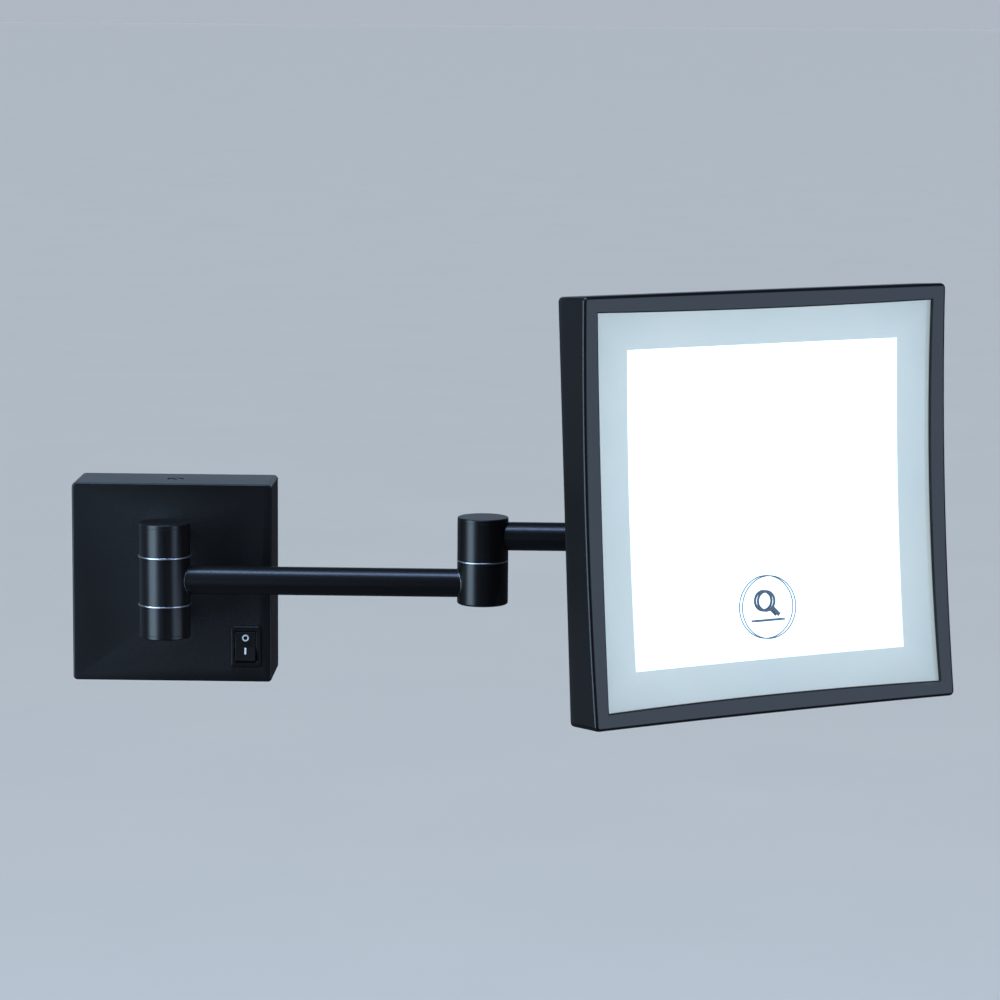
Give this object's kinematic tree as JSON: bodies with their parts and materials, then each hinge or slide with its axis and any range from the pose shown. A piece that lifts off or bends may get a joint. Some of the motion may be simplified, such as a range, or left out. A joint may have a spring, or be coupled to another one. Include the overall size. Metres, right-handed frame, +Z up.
{
  "type": "extendable shaving mirror",
  "caption": "Square wall-mounted shaving mirror with a lit frosted band and a hollow magnifying glass, on a folding double arm with a swivel and tilt joint and a rocker switch on the wall box.",
  "frame": {"origin": "centre of the four fixing screws, on the wall at the back of the wall box", "axes": "+X along the wall to the right, +Y into the wall, +Z up"},
  "size_m": [0.4369, 0.1858, 0.207],
  "materials": {
    "black_paint": "satin black powder paint",
    "bright_ring": "polished",
    "pin_steel": "turned",
    "zinc_steel": "zinc plated",
    "dark_screw": "blackened",
    "switch_plastic": "moulded, fine spark texture",
    "white_ink": "printed",
    "rubber": "matt",
    "white_plastic": "moulded",
    "bush_plastic": "turned acetal",
    "terminal_brass": "stamped",
    "lead_sleeve": "soft sleeve",
    "board": "white solder mask",
    "led": "phosphor",
    "opal_plastic": "opal diffuser",
    "silvering": "mirror silver",
    "frosted_light": "etched and lit from behind",
    "clear_glass": "polished",
    "grey_ink": "printed"
  },
  "bodies": {
    "wall_unit": {"wall_bracket": "zinc_steel", "wall_cover": "black_paint", "cover_set_screws": "dark_screw", "upper_wall_post": "black_paint", "lower_wall_post": "black_paint", "post_nuts": "zinc_steel", "wall_pivots": "pin_steel", "wall_hinge_rings": "bright_ring", "wall_barrel_caps": "black_paint", "cable_grommet": "rubber", "terminal_block": "white_plastic", "led_driver": "white_plastic", "switch_housing": "switch_plastic", "switch_terminals": "terminal_brass", "wall_box_leads": "lead_sleeve"},
    "rocker": {"switch_rocker": "switch_plastic", "rocker_marks": "white_ink"},
    "lower_arm": {"lower_arm_hub": "black_paint", "lower_arm_bushes": "bush_plastic", "lower_arm_tube": "black_paint", "elbow_lower_knuckle": "black_paint", "elbow_pin": "pin_steel", "elbow_nut": "zinc_steel", "elbow_ring": "bright_ring", "lower_arm_lead": "lead_sleeve"},
    "upper_arm": {"elbow_upper_knuckle": "black_paint", "elbow_bush": "bush_plastic", "elbow_spring_washers": "zinc_steel", "elbow_cap": "black_paint", "upper_arm_tube": "black_paint", "swivel_lower_knuckle": "black_paint", "swivel_pin": "pin_steel", "swivel_nut": "zinc_steel", "swivel_ring": "bright_ring", "upper_arm_lead": "lead_sleeve"},
    "head_carrier": {"swivel_upper_knuckle": "black_paint", "swivel_bush": "bush_plastic", "swivel_spring_washers": "zinc_steel", "swivel_cap": "black_paint", "neck_tube": "black_paint", "tilt_hub": "black_paint", "neck_lead": "lead_sleeve"},
    "mirror_head": {"tilt_bracket": "black_paint", "tilt_pivots": "pin_steel", "tilt_rings": "bright_ring", "tilt_caps": "black_paint", "bracket_screws": "dark_screw", "rear_cover": "black_paint", "rear_cover_screws": "dark_screw", "bezel_shell": "black_paint", "led_strips": "board", "led_chips": "led", "diffuser_frame": "opal_plastic", "mirror_carrier": "white_plastic", "mirror_silvering": "silvering", "frosted_band": "frosted_light", "mirror_glass": "clear_glass", "glass_gasket": "rubber", "magnifier_mark": "grey_ink", "head_lead": "lead_sleeve"}
  },
  "joints": [
    {"name": "wall_swing", "type": "hinge", "parent": "wall_unit", "child": "lower_arm", "pos_m": [0, -0.066, 0.0065], "axis": [0, 0, -1], "range_deg": [0, 180]},
    {"name": "elbow", "type": "hinge", "parent": "lower_arm", "child": "upper_arm", "pos_m": [0.1565, -0.066, 0.018], "axis": [0, 0, 1], "range_deg": [-105, 150]},
    {"name": "head_swivel", "type": "hinge", "parent": "upper_arm", "child": "head_carrier", "pos_m": [0.26, -0.066, 0.0415], "axis": [0, 0, -1], "range_deg": [-160, 30]},
    {"name": "head_tilt", "type": "hinge", "parent": "head_carrier", "child": "mirror_head", "pos_m": [0.27571, -0.09388, 0.054], "axis": [0.8712, 0.4909, 0], "range_deg": [-25, 30]},
    {"name": "rocker_press", "type": "hinge", "parent": "wall_unit", "child": "rocker", "pos_m": [0.037, -0.0373, -0.032], "axis": [1, 0, 0], "range_deg": [0, 18]}
  ]
}
